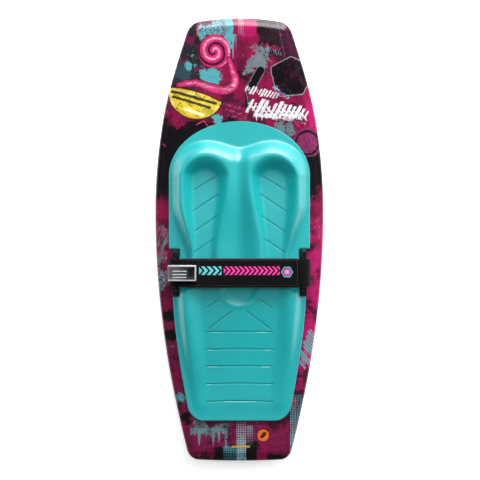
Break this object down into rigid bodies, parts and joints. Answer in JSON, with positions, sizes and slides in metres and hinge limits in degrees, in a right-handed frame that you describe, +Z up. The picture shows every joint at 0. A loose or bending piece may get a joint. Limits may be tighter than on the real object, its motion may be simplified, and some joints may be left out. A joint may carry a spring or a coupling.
{
  "type": "kneeboard",
  "caption": "Foam-cored kneeboard with a moulded knee pad, and a padded thigh strap that lifts open and carries a metal lever buckle.",
  "frame": {"origin": "middle of the board's length and width, on the plane of the flat underside", "axes": "+Y towards the nose, +X towards the rider's right, +Z up out of the deck"},
  "size_m": [0.4998, 1.3, 0.111],
  "materials": {
    "deck_graphic": "printed sheet under a clear gloss surface",
    "hull": "moulded, semi-gloss",
    "core_foam": "closed-cell foam",
    "adhesive_film": "translucent film",
    "eva_pad": "moulded EVA foam, satin matt skin",
    "anchor_plastic": "glass-filled nylon, fine texture",
    "screw_steel": "stainless",
    "insert_brass": "turned",
    "webbing": "woven polyester",
    "neoprene": "knit-faced neoprene foam",
    "loop_pile": "brushed loop pile",
    "hook_tape": "moulded hooks",
    "buckle_steel": "brushed face, polished folded rim"
  },
  "bodies": {
    "board": {"bottom_skin": "hull", "deck_skin": "deck_graphic", "foam_core": "core_foam", "pad_adhesive": "adhesive_film", "knee_pad": "eva_pad", "left_anchor_bracket": "anchor_plastic", "right_anchor_bracket": "anchor_plastic", "left_anchor_bar": "screw_steel", "right_anchor_bar": "screw_steel", "left_front_screw": "screw_steel", "left_rear_screw": "screw_steel", "right_front_screw": "screw_steel", "right_rear_screw": "screw_steel", "left_front_insert": "insert_brass", "left_rear_insert": "insert_brass", "right_front_insert": "insert_brass", "right_rear_insert": "insert_brass", "left_anchor_strap": "webbing", "right_anchor_strap": "webbing", "loop_panel": "loop_pile"},
    "strap": {"strap_cover": "webbing", "strap_padding": "neoprene", "hook_panel": "hook_tape", "buckle_webbing": "webbing", "buckle_frame": "buckle_steel", "buckle_pin": "buckle_steel", "buckle_rivet_front": "buckle_steel", "buckle_rivet_rear": "buckle_steel"},
    "lever": {"buckle_lever": "buckle_steel"}
  },
  "joints": [
    {"name": "strap_fold", "type": "hinge", "parent": "board", "child": "strap", "pos_m": [0.176, -0.096, 0.099], "axis": [0, 1, 0], "range_deg": [0, 160]},
    {"name": "lever_hinge", "type": "hinge", "parent": "strap", "child": "lever", "pos_m": [-0.206, -0.096, 0.1058], "axis": [0, -1, 0], "range_deg": [0, 95]}
  ]
}
